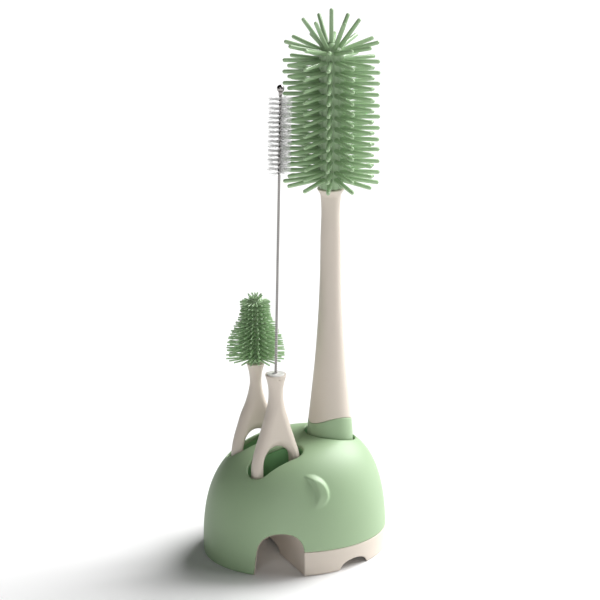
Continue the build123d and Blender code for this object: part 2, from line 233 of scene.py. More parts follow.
# Tunnel: straight legs up to the spring line, then a squashed super-ellipse arch.
TUNNEL_LEFT = -38.1
TUNNEL_RIGHT = TRAY_LOW[0] + 26.2
TUNNEL_HALF = (TUNNEL_RIGHT - TUNNEL_LEFT) / 2
TUNNEL_MID = (TUNNEL_RIGHT + TUNNEL_LEFT) / 2
TUNNEL_SPRING = 12.4
TUNNEL_LEAN = 0.043
TUNNEL_LEAN_LOW, TUNNEL_LEAN_HIGH = -2, 30
TUNNEL_SQUASH = 0.893
TUNNEL_ROUND = 2.3
TUNNEL_SIDE = 2.8
TUNNEL_LINING = 1.8
TUNNEL_EDGE_ROUND = 0.3

# Lip of the lining at the tunnel's mouths.
LIP_EDGE = 0.05
LIP_GROWTH = 0.35
LIP_GAP = 0.08
LIP_INSET = 0.06
LIP_DEPTH = 1.6
LIP_STEPS = 120

# Crescent ear: one disc less another, with middles as (x, z), faded out at its edge and foot.
EAR_MID = (-6.6, 45.2)
EAR_RADIUS = 9.3
EAR_CUT_MID = (-17.2, 45.2)
EAR_CUT_RADIUS = 11.0
EAR_CORNER = 1.0
EAR_HEIGHT = 2.0
EAR_FADE = 2.6
EAR_FOOT_Z = 36.2
EAR_FOOT_FADE = 9.0

# Tray: outer block, spigot inside the dome, room below and above its floor, legs and pad bosses.
OVAL_MID = -0.7
BLOCK_ROUND = 0.4
SPIGOT_INSET = 3.1
SPIGOT_LOW, SPIGOT_HIGH = 10.9, 17.5
SPIGOT_ROUND = 0.6
BELLY_INSET = 2.8
BELLY_TOP = 5.4
ROOM_INSET = 4.7
ROOM_FLOOR = 7.2
ROOM_ROUND = 0.4
LINING_INSET = 0.3
GAP_HALF = 10.0
GAP_RISE = 4.6
NOTCH_MID = 16.1
NOTCH_HALF = 9.2
NOTCH_RISE = 5.2
LEG_ROUND = 0.5
BOSS_WALL = 1.5
BOSS_TOP = 6.3
PAD_TOP = 1.5


def dome_distance(p, inset=0.0):
    """Signed distance, near the surface, to the leaning super-ellipse dome."""
    half_x, half_y, height = HALF_X - inset, HALF_Y - inset, DOME_HEIGHT - inset
    x = p[:, 0] - LEAN * p[:, 2]
    y = p[:, 1]
    rise = np.maximum((p[:, 2] - TILT * p[:, 0]) / height, 0)
    g = np.maximum(np.hypot(x / half_x, y / half_y), TINY)
    value = rise ** ROUND_TOP + g ** ROUND_SIDE - 1
    d_rise = ROUND_TOP * rise ** (ROUND_TOP - 1) / height
    d_g = ROUND_SIDE * g ** (ROUND_SIDE - 2)
    gx = d_g * x / half_x ** 2 - d_rise * TILT
    gy = d_g * y / half_y ** 2
    gz = d_rise - LEAN * d_g * x / half_x ** 2
    slope = np.sqrt(gx * gx + gy * gy + gz * gz)
    return np.clip(value / np.maximum(slope, LEAST_SLOPE), -FIELD_LIMIT, FIELD_LIMIT)


def oval_distance(p, inset):
    """Signed distance to an upright elliptical bar inside the dome's outline."""
    half_x, half_y = HALF_X - inset, HALF_Y - inset
    x, y = p[:, 0] - OVAL_MID, p[:, 1]
    g = np.maximum(np.hypot(x / half_x, y / half_y), TINY)
    slope = np.hypot(x / half_x ** 2, y / half_y ** 2) / g
    return (g - 1) / np.maximum(slope, 0.01)


def tunnel_distance(p, margin=0.0):
    """Signed distance to the bar that fills the arched tunnel, whose left side leans in."""
    lean = TUNNEL_LEAN * np.clip(p[:, 2], TUNNEL_LEAN_LOW, TUNNEL_LEAN_HIGH)
    across = np.abs(p[:, 0] - TUNNEL_MID - lean) + TINY
    above = TUNNEL_SQUASH * np.maximum(p[:, 2] - TUNNEL_SPRING, 0)
    reach = (across ** TUNNEL_ROUND + above ** TUNNEL_ROUND) ** (1 / TUNNEL_ROUND)
    return reach - TUNNEL_HALF + lean - margin


def lip_margin(p):
    """Thickness of the tunnel's lip: a knife edge at the dome's surface that thickens inwards."""
    return LIP_EDGE + LIP_GROWTH * np.clip(-dome_distance(p), 0, WALL)


def above_joint(p):
    """Height over the joint between dome and tray, which drops slightly as x grows."""
    return p[:, 2] - SEAM_Z - SEAM_SLOPE * p[:, 0]


def slot_distance(p, mid, length, width):
    """Signed distance to an upright bar with a stadium section."""
    straight = (length - width) / 2
    along = np.maximum(np.abs(p[:, 0] - mid[0]) - straight, 0)
    return np.hypot(along, p[:, 1] - mid[1]) - width / 2


def ear_relief(p):
    """Height of the crescent ear on each side: a soft ridge that fades out at its foot."""
    outer = np.hypot(p[:, 0] - EAR_MID[0], p[:, 2] - EAR_MID[1]) - EAR_RADIUS
    inner = EAR_CUT_RADIUS - np.hypot(p[:, 0] - EAR_CUT_MID[0], p[:, 2] - EAR_CUT_MID[1])
    depth = -smooth_max(outer, inner, EAR_CORNER)
    share = np.clip(depth / EAR_FADE, 0, 1)
    foot = np.clip((p[:, 2] - EAR_FOOT_Z) / EAR_FOOT_FADE, 0, 1)
    return EAR_HEIGHT * np.sin(share * math.pi / 2) ** 1.5 * foot * foot * (3 - 2 * foot)


def shell_field(p):
    """Dome with its wall, the cut for the tray and tunnel, two slots and the round hole."""
    x, z = p[:, 0], p[:, 2]
    outside = dome_distance(p) - ear_relief(p)
    body = smooth_max(outside, -dome_distance(p, WALL), RIM_ROUND)
    tray_room = np.maximum(TUNNEL_RIGHT - x, above_joint(p) - SEAM_GAP)
    cuts = [tunnel_distance(p, lip_margin(p) + LIP_GAP), tray_room, z - FLOOR_Z]
    for cut in cuts:
        body = smooth_max(body, -cut, CUT_ROUND)
    for low, high in (corners("straw_brush_pocket"), corners("nipple_brush_pocket")):
        size = high - low - 2 * POCKET_WALL
        slot = slot_distance(p, (low + high) / 2, size[0], size[1])
        body = smooth_max(body, -slot, SLOT_ROUND)
    low, high = corners("brush_socket")
    radius = (high[0] - low[0]) / 2 - SOCKET_WALL
    mid = (low + high) / 2
    return smooth_max(body, radius - np.hypot(x - mid[0], p[:, 1] - mid[1]), SLOT_ROUND)


def tray_field(p):
    """Tray with its legs, spigot and tunnel lining, and the notches and gap between the legs."""
    x, y, z = p.T
    block = [dome_distance(p), TUNNEL_RIGHT - x, above_joint(p), FLOOR_Z - z]
    spigot = [oval_distance(p, SPIGOT_INSET), TUNNEL_RIGHT - x, z - SPIGOT_HIGH, SPIGOT_LOW - z]
    body = np.minimum(rounded(block, BLOCK_ROUND), rounded(spigot, SPIGOT_ROUND))
    front = TUNNEL_RIGHT + TUNNEL_SIDE - x
    low_room = np.maximum.reduce([oval_distance(p, BELLY_INSET), front, z - BELLY_TOP])
    high_room = np.maximum.reduce([oval_distance(p, ROOM_INSET), front, ROOM_FLOOR - z])
    body = smooth_max(body, -low_room, ROOM_ROUND)
    body = smooth_max(body, -high_room, ROOM_ROUND)
    wall = np.maximum.reduce([
        tunnel_distance(p, TUNNEL_LINING), dome_distance(p, WALL + LINING_INSET),
        x - TUNNEL_RIGHT - TUNNEL_SIDE, FLOOR_Z - z,
    ])
    body = np.minimum(body, wall)
    body = smooth_max(body, -tunnel_distance(p), TUNNEL_EDGE_ROUND)
    gap_scale = np.hypot(y / GAP_HALF, z / GAP_RISE)
    gap = np.maximum((gap_scale - 1) * GAP_RISE, TUNNEL_MID - x)
    notch = (np.hypot((x - NOTCH_MID) / NOTCH_HALF, z / NOTCH_RISE) - 1) * NOTCH_RISE
    body = smooth_max(body, -gap, LEG_ROUND)
    body = smooth_max(body, -notch, LEG_ROUND)
    for low, high in PAD_BOXES:
        mid = (low + high) / 2
        radius = (high[0] - low[0]) / 2
        reach = np.hypot(x - mid[0], y - mid[1])
        boss = np.maximum.reduce([reach - radius - BOSS_WALL, z - BOSS_TOP, FLOOR_Z - z])
        body = np.minimum(body, boss)
        body = np.maximum(body, -np.maximum(reach - radius, z - PAD_TOP))
    return body


def surface_y(x, z, inset):
    """Half width of the dome, moved inwards by inset, at places (x, z), by repeated halving."""
    low, high = np.zeros(len(x)), np.full(len(x), HALF_Y + 2.0)
    for _ in range(30):
        mid = (low + high) / 2
        outside = dome_distance(np.stack([x, mid, z], 1), inset) > 0
        low, high = np.where(outside, low, mid), np.where(outside, mid, high)
    return low


def arch_line(margin, steps):
    """Points (x, z) of the tunnel's arch moved outwards: up the left leg and over to the right."""
    leg = steps // 3
    turns = np.concatenate([np.full(leg, math.pi), np.linspace(math.pi, 0, steps)])
    leg_heights = np.linspace(FLOOR_Z, TUNNEL_SPRING, leg, endpoint=False)
    heights = np.concatenate([leg_heights, np.full(steps, TUNNEL_SPRING)])
    half = np.full(len(turns), TUNNEL_HALF)
    power = 2 / TUNNEL_ROUND
    for _ in range(8):
        above = (half + margin) * np.maximum(np.sin(turns), 0) ** power / TUNNEL_SQUASH
        z = heights + above
        half = TUNNEL_HALF - TUNNEL_LEAN * z
    across = (half + margin) * np.sign(np.cos(turns)) * np.abs(np.cos(turns)) ** power
    return TUNNEL_MID + TUNNEL_LEAN * z + across, z


def tunnel_lip(side, name):
    """Thin lip of the lining at one mouth of the tunnel: flush with the dome, thicker inside."""
    thick, deep = LIP_EDGE + LIP_GROWTH * WALL, WALL + LIP_DEPTH
    section = [(0.0, LIP_INSET), (LIP_EDGE, LIP_INSET), (thick, WALL), (thick, deep), (0.0, deep)]
    rings = []
    for margin, inset in section:
        x, z = arch_line(margin, LIP_STEPS)
        rings.append(np.stack([x, side * surface_y(x, z, inset), z], 1))
    keep = (rings[0][:, 0] < TUNNEL_MID) | (above_joint(rings[0]) > 0)
    rings = np.stack(rings, 1)[keep]
    count, sides = rings.shape[:2]
    faces = []
    for row in range(count - 1):
        for k in range(sides):
            a, b = row * sides + k, row * sides + (k + 1) % sides
            faces.append((a, a + sides, b + sides, b))
    faces.append(tuple(range(sides)))
    faces.append(tuple(range(count * sides - 1, (count - 1) * sides - 1, -1)))
    if side > 0:
        faces = [face[::-1] for face in faces]
    points = rings.reshape(-1, 3)
    lip = mesh_piece(name, points, faces, "base", ["base_tray"], smooth=False)
    paint(lip, satin_cream())


def holder():
    """Dome, tray and tunnel lips."""
    tunnel_lip(-1, "near_tunnel_lip")
    tunnel_lip(1, "far_tunnel_lip")
    shell = carved(
        "dome", shell_field, SHELL_LOW - 2.5, SHELL_HIGH + 2, cell=0.55,
        body="shell", replaces=["dome_shell"],
    )
    paint(shell, satin_green())
    tray = carved(
        "tray", tray_field, TRAY_LOW - 1.5, TRAY_HIGH + 1.5, cell=0.5,
        body="base", replaces=["base_tray"],
    )
    paint(tray, satin_cream())


# ---------------------------------------------------------------- smooth profiles and tubes

def smooth_curve(at, knots):
    """Value at each position of a smooth curve through (position, value) knots."""
    place = np.array([k[0] for k in knots], float)
    value = np.array([k[1] for k in knots], float)
    slope = np.gradient(value, place)
    at = np.clip(at, place[0], place[-1])
    i = np.clip(np.searchsorted(place, at) - 1, 0, len(place) - 2)
    gap = place[i + 1] - place[i]
    t = (at - place[i]) / gap
    start = (1 + 2 * t) * (1 - t) ** 2 * value[i] + t * (1 - t) ** 2 * gap * slope[i]
    end = t * t * (3 - 2 * t) * value[i + 1] + t * t * (t - 1) * gap * slope[i + 1]
    return start + end


class Builder:
    """Collects tubes and other surfaces in one mesh, in millimetres."""

    def __init__(self):
        self.points = []
        self.faces = []
        self.count = 0

    def add(self, points, faces):
        self.points.append(np.asarray(points, float))
        self.faces += [tuple(int(v) + self.count for v in face) for face in faces]
        self.count += len(points)

    def tube(self, path, radii, sides):
        """Round tube along a path, closed at both ends."""
        path = np.asarray(path, float)
        ahead = np.gradient(path, axis=0)
        ahead /= np.linalg.norm(ahead, axis=1, keepdims=True)
        helper = (0.0, 0.0, 1.0) if abs(ahead[0, 2]) < 0.9 else (1.0, 0.0, 0.0)
        side = np.cross(ahead, helper)
        side /= np.linalg.norm(side, axis=1, keepdims=True)
        other = np.cross(ahead, side)
        turn = 2 * math.pi * np.arange(sides) / sides
        ring = side[:, None, :] * np.cos(turn)[None, :, None]
        ring = ring + other[:, None, :] * np.sin(turn)[None, :, None]
        points = (path[:, None, :] + ring * np.asarray(radii)[:, None, None]).reshape(-1, 3)
        faces = []
        for row in range(len(path) - 1):
            for k in range(sides):
                a, b = row * sides + k, row * sides + (k + 1) % sides
                faces.append((a, b, b + sides, a + sides))
        faces.append(tuple(range(sides - 1, -1, -1)))
        last = (len(path) - 1) * sides
        faces.append(tuple(range(last, last + sides)))
        self.add(points, faces)

    def piece(self, name, body, slot, replaces):
        points = np.concatenate(self.points)
        return mesh_piece(name, points, self.faces, body, replaces)


ROOT_STEPS = [0.0, 0.6, 1.2, 2.2]
FLARE = 0.35
FLARE_FADE = 0.8
TIP_FLAT = 0.12


def bristle_shape(length, root, tip):
    """Steps along a bristle and the radius at each: flared root, slight taper, round end."""
    along = ROOT_STEPS + list(np.linspace(0.25, 1.0, 5) * (length - tip))
    end = np.linspace(0, math.pi / 2, 5)[1:]
    flares = [(FLARE * root) * math.exp(-a / FLARE_FADE) for a in along]
    radius = [root + flare - (root - tip) * a / length for a, flare in zip(along, flares)]
    along += [length - tip + tip * math.sin(e) for e in end]
    radius += [tip * max(math.cos(e), TIP_FLAT) for e in end]
    return np.array(along), np.array(radius)


def add_bristle(builder, start, heading, length, sway, root, tip, sides):
    """One bristle from a start point along a heading, bending a little towards its end."""
    along, radius = bristle_shape(length, root, tip)
    heading = np.asarray(heading, float)
    heading /= np.linalg.norm(heading)
    path = start + along[:, None] * heading + (along[:, None] / length) ** 2 * np.asarray(sway)
    builder.tube(path, radius, sides)


def outward(turn, rise):
    """Unit heading at a turn about Z and a rise above the horizon, in degrees."""
    a, e = math.radians(turn), math.radians(rise)
    return np.array([math.cos(a) * math.cos(e), math.sin(a) * math.cos(e), math.sin(e)])


# ---------------------------------------------------------------- large brush

HEAD_LOW, HEAD_HIGH = corners("bottle_head")
HEAD_AXIS = middle("bottle_head")[:2]
HEAD_REACH = (HEAD_HIGH[0] - HEAD_LOW[0]) / 2
HEAD_TURN = 1.6
HEAD_COLUMNS = 12
HEAD_BRISTLE = {"root": 1.27, "tip": 1.08, "sides": 14}
HEAD_ROOT = 4.9
# Rows of bristles, as depths under the head's top, and the rise in degrees of the two end rows.
ROW_COUNT = 11
ROW_STEP = 6.0
FIRST_ROW = 28.1
LOWEST_ROW, LOWEST_RISE = 91.9, -6.0
UPPER_ROW, UPPER_RISE = 23.5, 15.0
CROWN_ROW, CROWN_RISE, CROWN_ROOT = 22.4, 55, 3.2
CORE_RADIUS = 5.8
CORE_TOP = HEAD_HIGH[2] - 18.1
RIB_HALF = 1.35
RIB_REACH = 6.6
RIB_DROP = 5.5


def head_core_field(p):
    """Core of the large head: a dome-topped rod with a rib under each column of bristles."""
    x, y = p[:, 0] - HEAD_AXIS[0], p[:, 1] - HEAD_AXIS[1]
    z = p[:, 2]
    rod = np.sqrt(x * x + y * y + np.maximum(z - CORE_TOP + CORE_RADIUS, 0) ** 2) - CORE_RADIUS
    turn = np.arctan2(y, x) - math.radians(HEAD_TURN)
    sector = 2 * math.pi / HEAD_COLUMNS
    turn = turn - sector * np.round(turn / sector)
    reach = np.hypot(x, y)
    across = np.abs(reach * np.sin(turn)) - RIB_HALF
    out = reach * np.cos(turn) - RIB_REACH
    rib = rounded([across, out, z - CORE_TOP + RIB_DROP], 0.6)
    body = smooth_min(rod, rib, 0.8)
    return rounded([body, HEAD_LOW[2] - z], 0.5)


def bottle_head():
    """Silicone sleeve of the large head and its bristles: straight rows, a crown and a tip."""
    x, y = HEAD_AXIS
    core = carved(
        "bottle_head_sleeve", head_core_field,
        (x - 8, y - 8, HEAD_LOW[2] - 1.2), (x + 8, y + 8, CORE_TOP + 1.2), cell=0.45,
        body="bottle_brush", replaces=["bottle_head"],
    )
    # Painted shade: the silicone is darkened to 0.82 near the core, where the bristles shade it,
    # and keeps its colour at the tips.
    rubber = silicone("large_head_silicone", HEAD_AXIS, near=(6.0, 0.82), far=(24.0, 1.0))
    paint(core, rubber)
    rng = np.random.default_rng(11)
    bristles = Builder()
    centre = np.array([x, y, 0.0])
    top = HEAD_HIGH[2]
    rows = [(top - FIRST_ROW - ROW_STEP * row, 0.0) for row in range(ROW_COUNT)]
    rows += [(top - LOWEST_ROW, LOWEST_RISE), (top - UPPER_ROW, UPPER_RISE)]
    length = HEAD_REACH - HEAD_ROOT
    for column in range(HEAD_COLUMNS):
        turn = HEAD_TURN + 360 / HEAD_COLUMNS * column
        for z, rise in rows:
            start = centre + outward(turn, 0) * HEAD_ROOT + np.array([0, 0, z])
            heading = outward(turn + rng.normal(0, 0.35), rise + rng.normal(0, 0.35))
            sway = rng.normal(0, 0.16, 3) + np.array([0, 0, -0.12])
            add_bristle(bristles, start, heading, length, sway, **HEAD_BRISTLE)
        if column % 2 == 1:
            start = centre + outward(turn, 0) * CROWN_ROOT + np.array([0, 0, top - CROWN_ROW])
            heading = outward(turn + rng.normal(0, 0.8), CROWN_RISE + rng.normal(0, 0.8))
            sway = rng.normal(0, 0.2, 3)
            add_bristle(bristles, start, heading, length, sway, **HEAD_BRISTLE)
    start = centre + np.array([0, 0, top - length])
    add_bristle(bristles, start, (0, 0, 1), length, (0, 0, 0), **HEAD_BRISTLE)
    piece = bristles.piece(
        "bottle_head_bristles", "bottle_brush", "green_silicone", ["bottle_head"],
    )
    paint(piece, rubber)


CAP_LOW, CAP_HIGH = corners("handle_cap")
GRIP_TOP = corners("handle_grip")[1][2]
HANDLE_KNOTS = [
    # height, radius
    (23.3, 12.3), (45.0, 12.6), (64.0, 12.6), (82.0, 10.8), (105.0, 8.5),
    (128.0, 6.85), (151.0, 5.85), (174.0, 5.5), (198.2, 5.45), (199.6, 5.6), (201.0, 6.2),
    (202.2, 7.0), (203.2, 7.4), (204.5, 7.45),
]
GRIP_JOINT_LOW = 70.7
GRIP_JOINT_RISE = 5.5
GRIP_JOINT_HALF = 12.5
GRIP_JOINT_GAP = 0.04
GRIP_JOINT_ROUND = 0.35


def handle_distance(p):
    """Outside of the cap and handle, with the flared neck under the head."""
    reach = np.hypot(p[:, 0] - HEAD_AXIS[0], p[:, 1] - HEAD_AXIS[1])
    body = (reach - smooth_curve(p[:, 2], HANDLE_KNOTS)) * 0.99
    body = smooth_max(body, p[:, 2] - GRIP_TOP, 0.8)
    return smooth_max(body, CAP_LOW[2] - p[:, 2], 3.0)


def above_grip_joint(p):
    """Signed height over the wavy joint of cap and handle, high on the near and far sides."""
    wave = GRIP_JOINT_LOW + GRIP_JOINT_RISE * (p[:, 1] / GRIP_JOINT_HALF) ** 2
    slope = 2 * GRIP_JOINT_RISE * p[:, 1] / GRIP_JOINT_HALF ** 2
    return (p[:, 2] - wave) / np.sqrt(1 + slope * slope)


def grip_field(p):
    """Handle above the wavy joint."""
    return smooth_max(handle_distance(p), GRIP_JOINT_GAP - above_grip_joint(p), GRIP_JOINT_ROUND)


def cap_field(p):
    """End cap below the wavy joint."""
    return smooth_max(handle_distance(p), above_grip_joint(p) + GRIP_JOINT_GAP, GRIP_JOINT_ROUND)


def handle():
    """Handle and end cap of the large brush."""
    around = np.array([13.5, 13.5, 0])
    mid = np.array([HEAD_AXIS[0], HEAD_AXIS[1], 0])
    low, high = mid - around, mid + around
    grip = carved(
        "handle", grip_field, low + [0, 0, 60], high + [0, 0, GRIP_TOP + 1], cell=0.5,
        body="bottle_brush", replaces=["handle_grip"],
    )
    paint(grip, satin_cream())
    cap = carved(
        "handle_end_cap", cap_field, low + [0, 0, CAP_LOW[2] - 1], high + [0, 0, CAP_HIGH[2] + 2],
        cell=0.5, body="bottle_brush", replaces=["handle_cap"],
    )
    paint(cap, satin_green())


# ---------------------------------------------------------------- wishbone handles

FORK_KNOTS = [
    # height, half width, half depth
    (30.6, 14.0, 4.0),
    (37.0, 14.3, 4.15),
    (43.4, 14.5, 4.3),
    (49.8, 14.5, 4.45),
    (56.2, 14.1, 4.65),
    (62.6, 12.8, 4.7),
    (69.0, 10.8, 4.7),
    (75.4, 8.7, 4.65),
]
STRAW_NECK = [
    (81.8, 6.8, 4.6), (88.2, 4.95, 4.4), (94.6, 3.95, 3.9), (101.0, 4.15, 4.1), (107.8, 5.7, 5.7),
]
NIPPLE_NECK = [
    (81.8, 5.9, 4.5), (87.6, 4.15, 3.9), (93.4, 3.2, 3.2), (99.2, 3.55, 3.55), (105.0, 4.9, 4.9),
]
FORK_CORNER = 0.95
FORK_HALF_DEPTH = 4.7
FORK_SPRING = 56.0
# Opening between the prongs: half width and rise half way through, and their growth to the faces.
OPENING_HALF, OPENING_FLARE = 8.7, 1.2
OPENING_RISE, OPENING_LIFT = 10.4, 4.2
RECESS_DEPTH = 1.8


def wishbone_field(p, axis, neck, top, foot):
    """Forked handle: round-ended sections that change with height, with an arched opening.

    The opening is widest at the two faces and narrowest half way through.
    """
    x, y, z = p[:, 0] - axis[0], p[:, 1] - axis[1], p[:, 2]
    knots = FORK_KNOTS + neck
    wide = smooth_curve(z, [(k[0], k[1]) for k in knots])
    deep = smooth_curve(z, [(k[0], k[2]) for k in knots])
    corner = FORK_CORNER * np.minimum(wide, deep)
    out_x = np.abs(x) - wide + corner
    out_y = np.abs(y) - deep + corner
    outer = np.hypot(np.maximum(out_x, 0), np.maximum(out_y, 0))
    body = outer + np.minimum(np.maximum(out_x, out_y), 0) - corner
    face = np.clip(np.abs(y) / FORK_HALF_DEPTH, 0, 1)
    half = OPENING_HALF + OPENING_FLARE * face ** 4
    rise = OPENING_RISE + OPENING_LIFT * face ** 2
    above = np.maximum(z - FORK_SPRING, 0)
    scale = np.maximum(np.hypot(x / half, above / rise), TINY)
    bend = np.hypot(x / half ** 2, above / rise ** 2) / scale
    opening = (scale - 1) / np.maximum(bend, 0.02)
    body = smooth_max(body, -opening, 1.0)
    body = smooth_max(body, z - top, 0.5)
    return smooth_max(body, foot - z, 3.0)


def wishbone(node, name, neck, body, recess=0.0):
    """Wishbone handle in place of a CAD node, with a round recess in its top; gives its axis."""
    low, high = corners(node)
    axis = (low[:2] + high[:2]) / 2

    def field(p):
        solid = wishbone_field(p, axis, neck, high[2], low[2])
        if recess:
            reach = np.hypot(p[:, 0] - axis[0], p[:, 1] - axis[1])
            room = np.maximum(reach - recess, high[2] - RECESS_DEPTH - p[:, 2])
            solid = smooth_max(solid, -room, 0.25)
        return solid

    piece = carved(
        name, field, low - 1.2, high + 1.2, cell=0.42,
        body=body, replaces=[node],
    )
    paint(piece, satin_cream())
    return axis


# ---------------------------------------------------------------- teat brush head

NIPPLE_COLUMNS = 20
NIPPLE_TURN = 2.6
NIPPLE_REACHES = [
    # height, reach of the bristle tips
    (106.0, 16.0), (113.0, 16.0), (116.0, 15.7), (118.7, 15.0), (121.6, 13.9), (123.7, 12.8),
    (126.9, 11.3), (129.5, 9.9), (133.5, 8.7), (139.9, 8.3),
]
NIPPLE_BRISTLE = {"root": 0.54, "tip": 0.45, "sides": 8}
NIPPLE_TOP = 142.6
NIPPLE_ROOT = 2.4
NIPPLE_ROWS = 14
NIPPLE_ROW_STEP = 2.44
NIPPLE_FIRST_ROW = 139.9
NIPPLE_CROWN_LENGTH = 3.9
NIPPLE_CORE = 2.75
NIPPLE_CORE_DOME = 2.9
NIPPLE_RIPPLE = 0.22


def nipple_head():
    """Silicone sleeve of the small head and its fine bristles."""
    low, high = corners("nipple_head")
    x, y = (low[:2] + high[:2]) / 2
    rng = np.random.default_rng(5)
    foot, top = low[2], NIPPLE_TOP
    centre = np.array([x, y, 0.0])
    bristles = Builder()

    def ring(count, root_out, z, rise, length):
        for k in range(count):
            turn = NIPPLE_TURN + 360 / count * k
            start = centre + outward(turn, 0) * root_out + np.array([0, 0, z])
            heading = outward(turn + rng.normal(0, 0.9), rise + rng.normal(0, 1.2))
            grown = length * (1 + rng.normal(0, 0.01))
            sway = rng.normal(0, 0.14, 3)
            add_bristle(bristles, start, heading, grown, sway, **NIPPLE_BRISTLE)

    for row in range(NIPPLE_ROWS):
        z = NIPPLE_FIRST_ROW - NIPPLE_ROW_STEP * row
        reach = float(smooth_curve(np.array([z]), NIPPLE_REACHES)[0])
        ring(NIPPLE_COLUMNS, NIPPLE_ROOT, z, rise=0.0, length=reach - NIPPLE_ROOT)
    ring(8, 1.2, top - 1, rise=42, length=NIPPLE_CROWN_LENGTH)
    ring(1, 0.0, top - 1, rise=90, length=NIPPLE_CROWN_LENGTH)
    piece = bristles.piece(
        "nipple_head_bristles", "nipple_brush", "green_silicone", ["nipple_head"],
    )
    # Painted shade and light: the silicone is darkened to 0.9 near the core and lightened to 1.15
    # at the bristle tips.
    rubber = silicone("small_head_silicone", (x, y), near=(2.5, 0.9), far=(15.0, 1.15))
    paint(piece, rubber)

    def core(p):
        dx, dy, z = p[:, 0] - x, p[:, 1] - y, p[:, 2]
        sector = 2 * math.pi / NIPPLE_COLUMNS
        turn = np.arctan2(dy, dx) - math.radians(NIPPLE_TURN)
        turn = turn - sector * np.round(turn / sector)
        ripple = NIPPLE_RIPPLE * np.cos(turn / sector * 2 * math.pi)
        over = np.maximum(z - top + NIPPLE_CORE_DOME, 0)
        rod = np.sqrt(dx * dx + dy * dy + over ** 2) - NIPPLE_CORE - ripple
        return rounded([rod, foot - z], 0.5)

    sleeve = carved(
        "nipple_head_sleeve", core, (x - 4.5, y - 4.5, foot - 1), (x + 4.5, y + 4.5, top + 1.2),
        cell=0.3, body="nipple_brush", replaces=["nipple_head"],
    )
    paint(sleeve, rubber)


# ---------------------------------------------------------------- straw brush

PLUG_RECESS = 4.9
PLUG_RADIUS = 4.8
PLUG_HEIGHT = 1.9
COLLAR_RADIUS = 1.5
COLLAR_RISE = 0.25
COLLAR_DEPTH = 1.5
WIRE_BORE = 0.95
WIRE_FOOT = 4
BALL_RADIUS = 2.0
BALL_SLEEVE_RADIUS = 1.05
BALL_SLEEVE_LENGTH = 3.2
STRAND = 0.42
STRAND_SIDES = 10
WIRE_STEP = 0.14
WIRE_END = 1.2
HALF_PITCH_LOOSE, HALF_PITCH_TIGHT = 2.5, 1.15
PITCH_BLEND = 10
HAIR_STEP = 0.085
HAIR_REACH = 6.15
HAIR_RADII = np.array([0.11, 0.105, 0.1, 0.085])
HAIR_SIDES = 4
HAIRS_PER_SIDE = 2


def straw_brush():
    """Straw brush: wishbone handle, plug, twisted wire, nylon bristles and tip ball."""
    axis = wishbone(
        "straw_handle", "straw_brush_handle", STRAW_NECK, "straw_brush", recess=PLUG_RECESS,
    )
    plug_top = corners("straw_end_plug")[1][2]
    ball_mid = middle("straw_tip_ball")
    ball_top = corners("straw_tip_ball")[1][2]
    ball = np.array([ball_mid[0], ball_mid[1], ball_top - BALL_RADIUS])
    foot = np.array([axis[0], axis[1], plug_top])
    along = (ball - foot) / np.linalg.norm(ball - foot)
    start = foot - along * WIRE_FOOT
    length = np.linalg.norm(ball - start)
    side = np.cross(along, [0, 1, 0])
    side /= np.linalg.norm(side)
    other = np.cross(along, side)
    tuft_low, tuft_high = (corner[2] - start[2] for corner in corners("straw_bristles"))

    def plug_field(p):
        reach = np.hypot(p[:, 0] - axis[0], p[:, 1] - axis[1])
        below = plug_top - PLUG_HEIGHT - p[:, 2]
        disc = rounded([reach - PLUG_RADIUS, p[:, 2] - plug_top, below], 0.5)
        from_wire = p - foot
        height = from_wire @ along
        off = np.linalg.norm(from_wire - height[:, None] * along, axis=1)
        collar = rounded([off - COLLAR_RADIUS, height - COLLAR_RISE, -height - COLLAR_DEPTH], 0.4)
        body = smooth_min(disc, collar, 0.5)
        return smooth_max(body, WIRE_BORE - off, 0.15)

    plug = carved(
        "straw_plug", plug_field,
        (axis[0] - 6, axis[1] - 6, plug_top - 3), (axis[0] + 6, axis[1] + 6, plug_top + 1.5),
        cell=0.25, body="straw_brush", replaces=["straw_end_plug"],
    )
    paint(plug, white_plastic())

    heights, turns = twist_course(length, tuft_low, tuft_high)
    wire_steel = twisted_steel(start, along)
    for index in (0, 1):
        turn = turns + math.pi * index
        path = start + heights[:, None] * along
        path = path + STRAND * (np.cos(turn)[:, None] * side + np.sin(turn)[:, None] * other)
        wire = Builder()
        wire.tube(path, np.full(len(path), STRAND), STRAND_SIDES)
        name = f"straw_wire_strand_{index + 1}"
        piece = wire.piece(name, "straw_brush", "steel_wire", ["straw_wire"])
        paint(piece, wire_steel)

    def ball_field(p):
        away = p - ball
        height = away @ along
        off = np.linalg.norm(away - height[:, None] * along, axis=1)
        sphere = np.linalg.norm(away, axis=1) - BALL_RADIUS
        sleeve = rounded([off - BALL_SLEEVE_RADIUS, height, -height - BALL_SLEEVE_LENGTH], 0.4)
        return smooth_min(sphere, sleeve, 0.8)

    tip = carved(
        "straw_tip", ball_field, ball - [3, 3, 4.5], ball + [3, 3, 3], cell=0.22,
        body="straw_brush", replaces=["straw_tip_ball"],
    )
    paint(tip, steel())
    nylon(start, (along, side, other), heights, turns, tuft_low, tuft_high)


def twist_course(length, loose_from, loose_to):
    """Heights along the wire and the twist's turn there; it is slower among the bristles."""
    heights = np.arange(0, length - WIRE_END, WIRE_STEP)
    loose = (heights > loose_from) & (heights < loose_to)
    half_pitch = np.where(loose, HALF_PITCH_LOOSE, HALF_PITCH_TIGHT)
    kernel = np.ones(2 * PITCH_BLEND + 1) / (2 * PITCH_BLEND + 1)
    half_pitch = np.convolve(np.pad(half_pitch, PITCH_BLEND, mode="edge"), kernel, mode="valid")
    return heights, np.cumsum(math.pi * WIRE_STEP / half_pitch)


